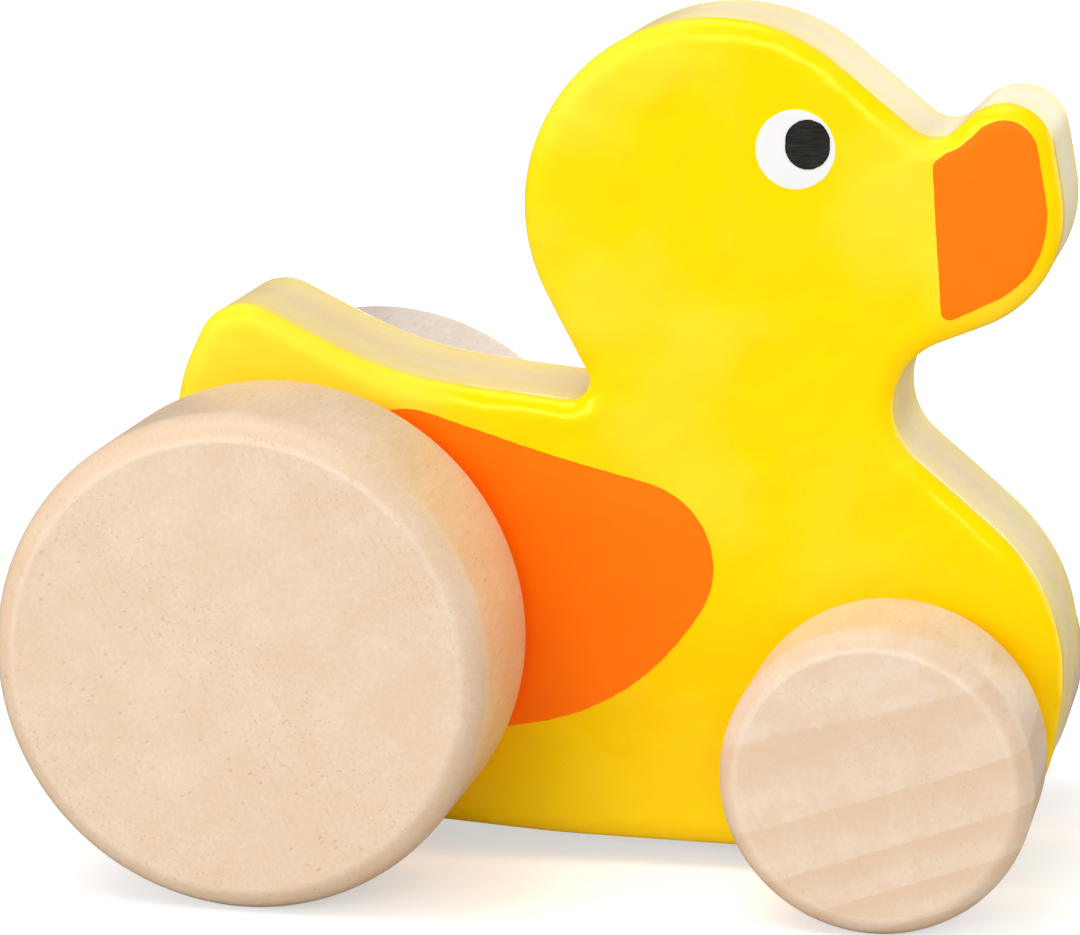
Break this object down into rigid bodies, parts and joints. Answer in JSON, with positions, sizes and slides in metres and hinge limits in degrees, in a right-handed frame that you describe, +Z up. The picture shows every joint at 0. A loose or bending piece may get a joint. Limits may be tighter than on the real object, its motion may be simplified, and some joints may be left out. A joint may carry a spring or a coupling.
{
  "type": "pull along toy",
  "caption": "Wooden push-along duck sawn from a flat board, painted on both faces, rolling on closed round wooden wheels glued to turning dowel axles.",
  "frame": {"origin": "on the floor under the middle of the toy's length and width", "axes": "+X towards the beak, +Y to the duck's left, +Z up"},
  "size_m": [0.1032, 0.063, 0.0865],
  "materials": {
    "bare_beech": "sanded pale beech under clear matt varnish",
    "dowel_beech": "plain turned dowel",
    "wheel_beech": "fine sanded, unvarnished",
    "yellow_paint": "glossy sprayed enamel, slightly wavy",
    "orange_print": "satin screen print",
    "white_print": "satin screen print",
    "black_print": "satin screen print"
  },
  "bodies": {
    "board": {"duck_body": "bare_beech", "yellow_paint_right": "yellow_paint", "wing_print_right": "orange_print", "beak_print_right": "orange_print", "eye_white_right": "white_print", "pupil_right": "black_print", "yellow_paint_left": "yellow_paint", "wing_print_left": "orange_print", "beak_print_left": "orange_print", "eye_white_left": "white_print", "pupil_left": "black_print"},
    "rear_wheelset": {"rear_axle": "dowel_beech", "rear_wheel_right": "wheel_beech", "rear_wheel_left": "wheel_beech"},
    "front_wheelset": {"front_axle": "dowel_beech", "front_wheel_right": "wheel_beech", "front_wheel_left": "wheel_beech"}
  },
  "joints": [
    {"name": "rear_axle_spin", "type": "hinge", "parent": "board", "child": "rear_wheelset", "pos_m": [-0.0266, 0, 0.025], "axis": [0, 1, 0], "continuous": true},
    {"name": "front_axle_spin", "type": "hinge", "parent": "board", "child": "front_wheelset", "pos_m": [0.0354, 0, 0.01525], "axis": [0, 1, 0], "continuous": true}
  ]
}
